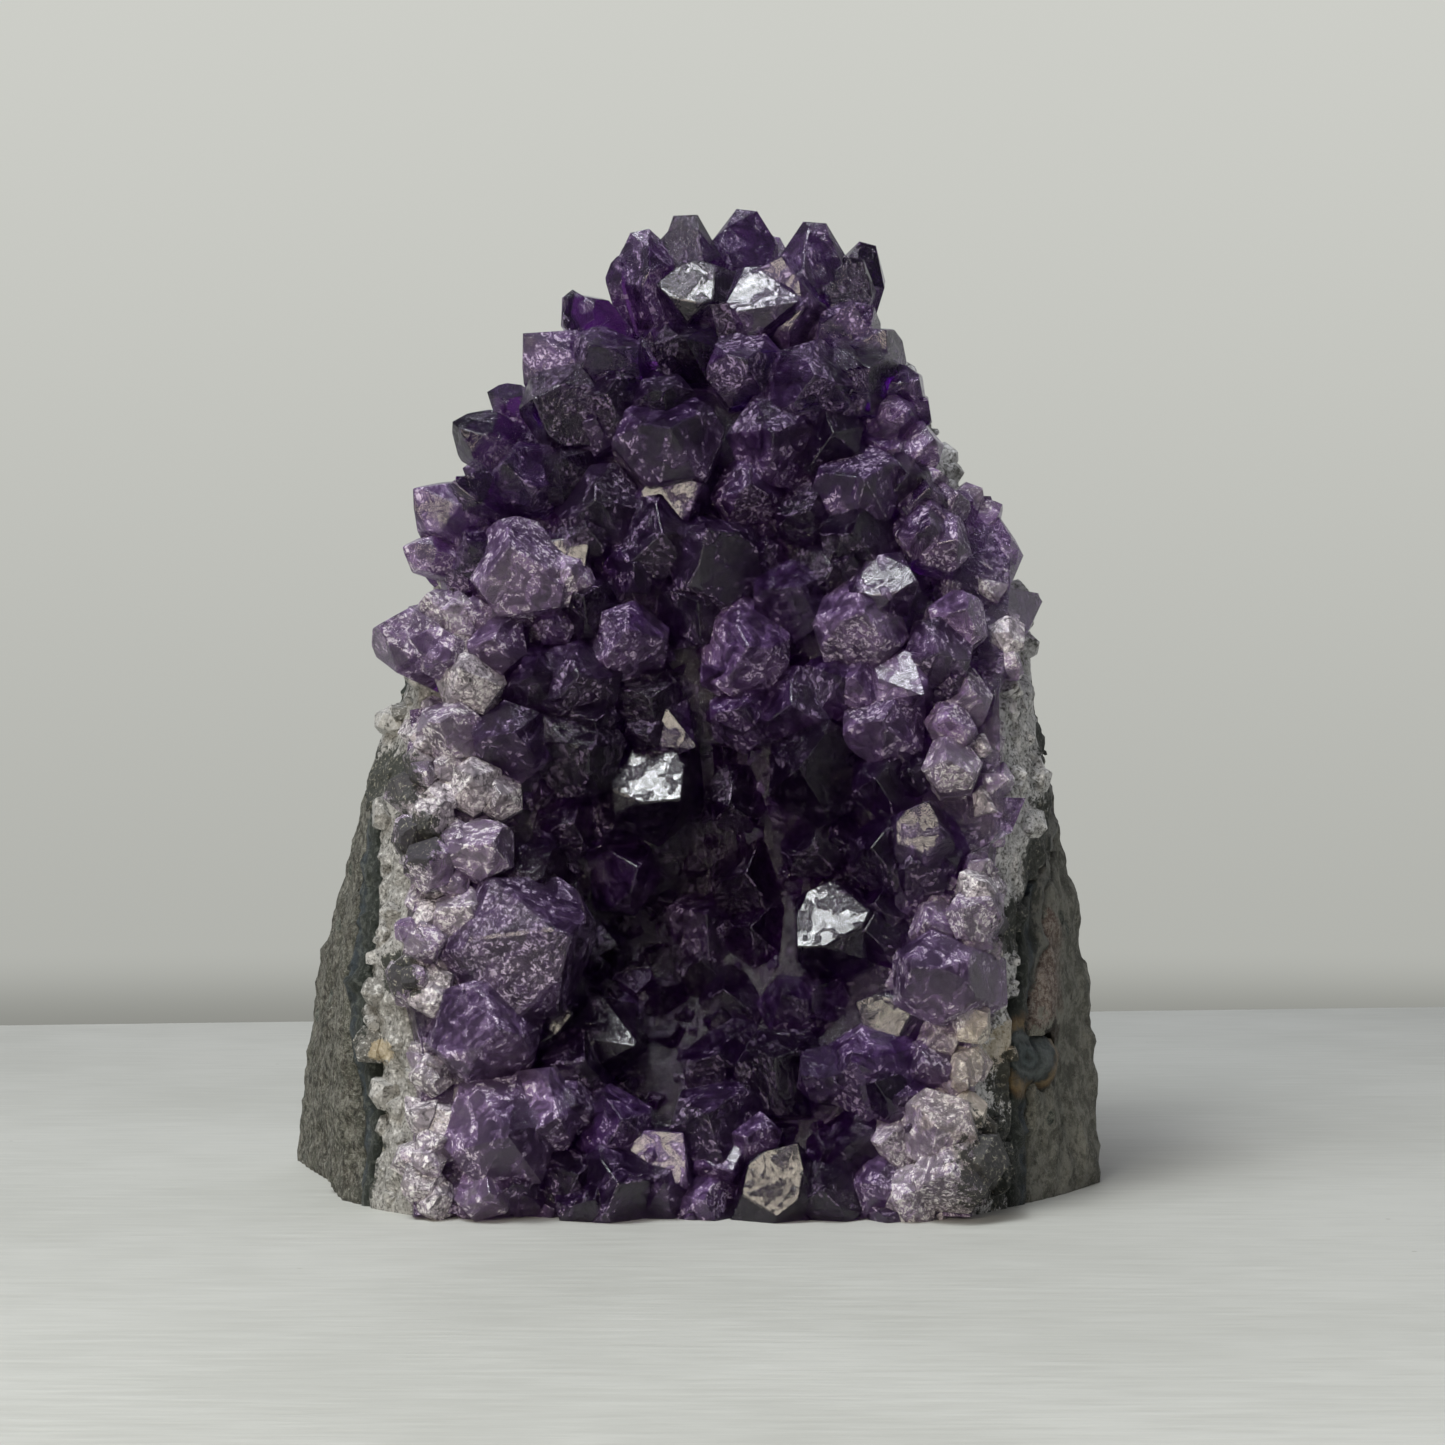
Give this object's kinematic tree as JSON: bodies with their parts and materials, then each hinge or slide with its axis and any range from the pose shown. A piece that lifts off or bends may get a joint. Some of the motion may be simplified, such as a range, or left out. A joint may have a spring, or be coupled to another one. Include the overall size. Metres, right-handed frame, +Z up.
{
  "type": "cut base amethyst cluster",
  "caption": "Upright wedge of geode wall sawn flat underneath, with purple crystals over white quartz, thin green agate and grey basalt.",
  "frame": {"origin": "centre of the bounding box in plan, on the sawn base", "axes": "+Z up from the sawn base to the crown, -Y out of the crystal-covered front, +Y into the basalt back, +X to the right seen from the front"},
  "size_m": [0.1016, 0.0736, 0.1198],
  "materials": {
    "basalt": "rough, dull grey-brown with dark pits",
    "agate": "waxy blue-grey and dark green bands",
    "quartz": "granular, translucent white with cream stains",
    "amethyst": "glossy crystal faces, deep purple to pale lilac"
  },
  "bodies": {
    "root": {"basalt_matrix": "basalt", "agate_band": "agate", "quartz_layer": "quartz", "amethyst_crystals": "amethyst"}
  },
  "joints": []
}
